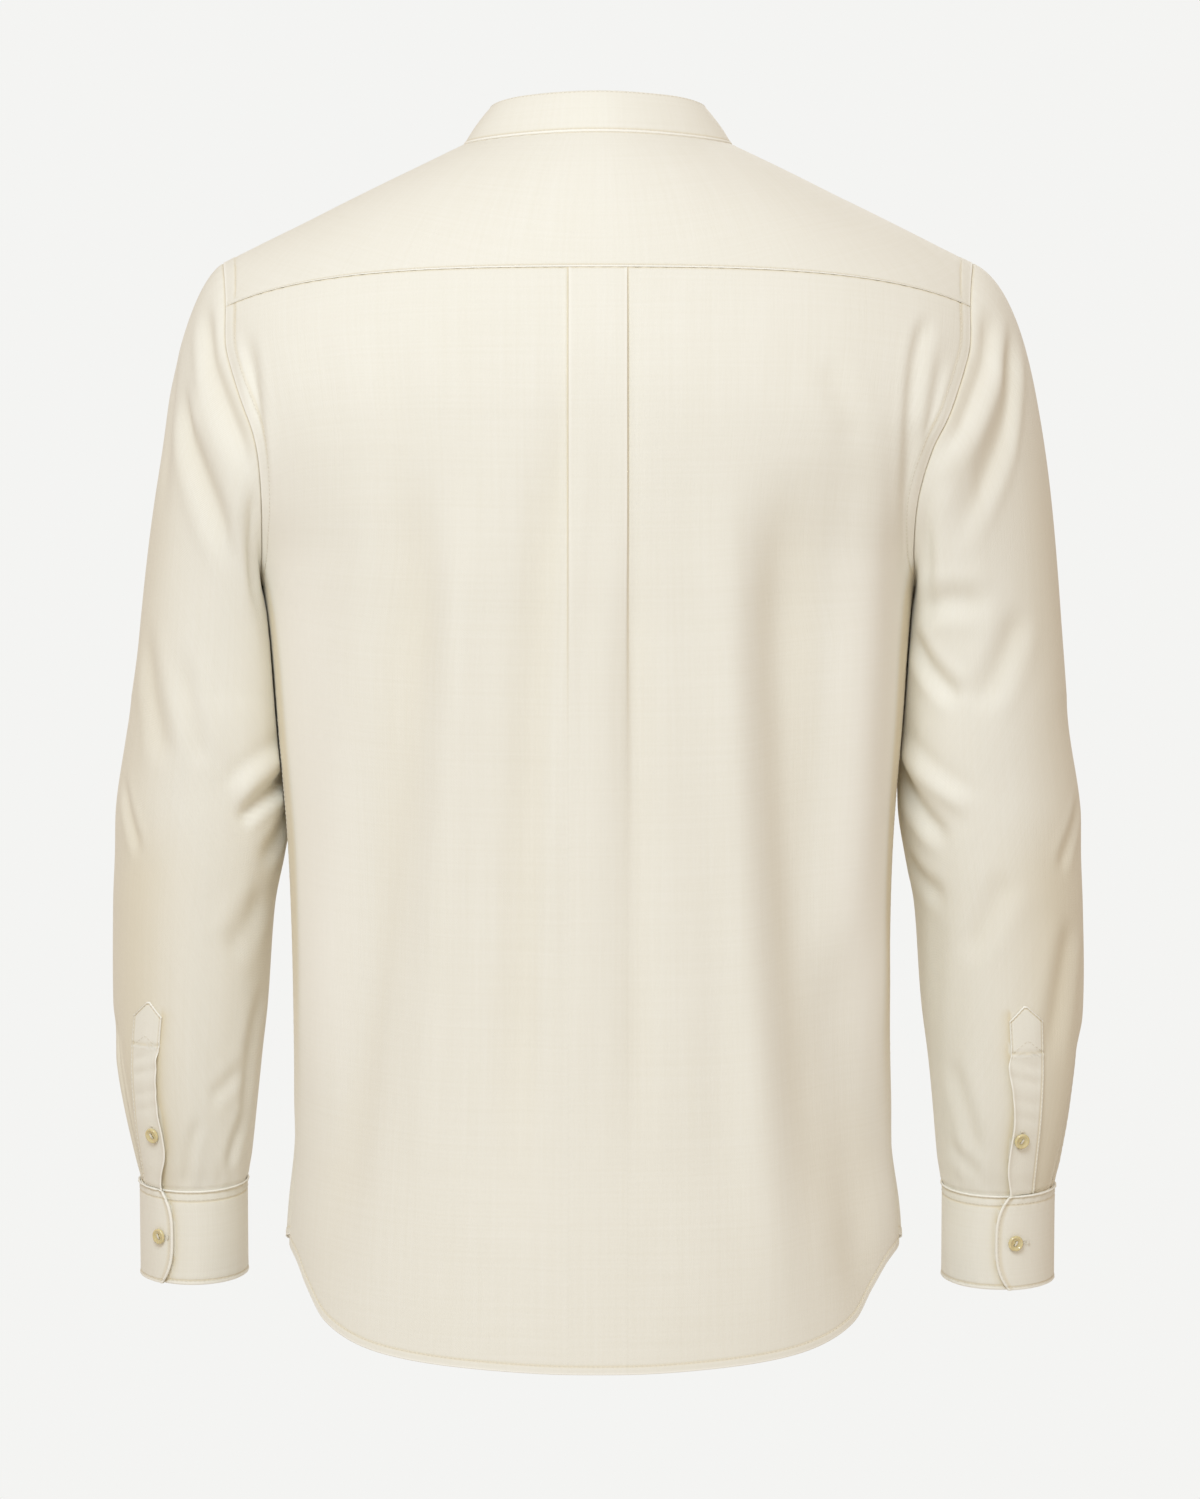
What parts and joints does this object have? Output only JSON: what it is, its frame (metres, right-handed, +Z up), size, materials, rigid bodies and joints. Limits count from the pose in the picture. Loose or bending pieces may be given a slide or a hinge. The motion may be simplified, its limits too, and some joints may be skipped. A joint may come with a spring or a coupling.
{
  "type": "mandarin collar shirt",
  "caption": "Long-sleeved mandarin collar shirt, filled out as if worn, with a box-pleated back yoke, a buttoned front placket and barrel cuffs.",
  "frame": {"origin": "the point between the wearer's shoulders, level with the top of the shoulder seams at the neck, where the wearer's body holds the shirt up", "axes": "+Z up along the wearer's body, +X to the wearer's left, the front of the shirt faces -Y"},
  "size_m": [0.6075, 0.2615, 0.781],
  "materials": {
    "shirt_cloth": "warm ivory shirt cloth, a fine soft plain weave with a faint sheen",
    "button_horn": "pale horn-yellow buttons, domed and glossy"
  },
  "bodies": {
    "root": {"back_panel": "shirt_cloth", "back_yoke": "shirt_cloth", "front_left": "shirt_cloth", "front_right": "shirt_cloth", "front_placket": "shirt_cloth", "collar_band": "shirt_cloth", "sleeve_left": "shirt_cloth", "sleeve_right": "shirt_cloth", "sleeve_placket_left": "shirt_cloth", "sleeve_placket_right": "shirt_cloth", "cuff_left": "shirt_cloth", "cuff_right": "shirt_cloth", "collar_button": "button_horn", "front_button_1": "button_horn", "front_button_2": "button_horn", "front_button_3": "button_horn", "front_button_4": "button_horn", "front_button_5": "button_horn", "front_button_6": "button_horn", "front_button_7": "button_horn", "placket_button_left": "button_horn", "placket_button_right": "button_horn", "cuff_button_left": "button_horn", "cuff_button_right": "button_horn"}
  },
  "joints": []
}
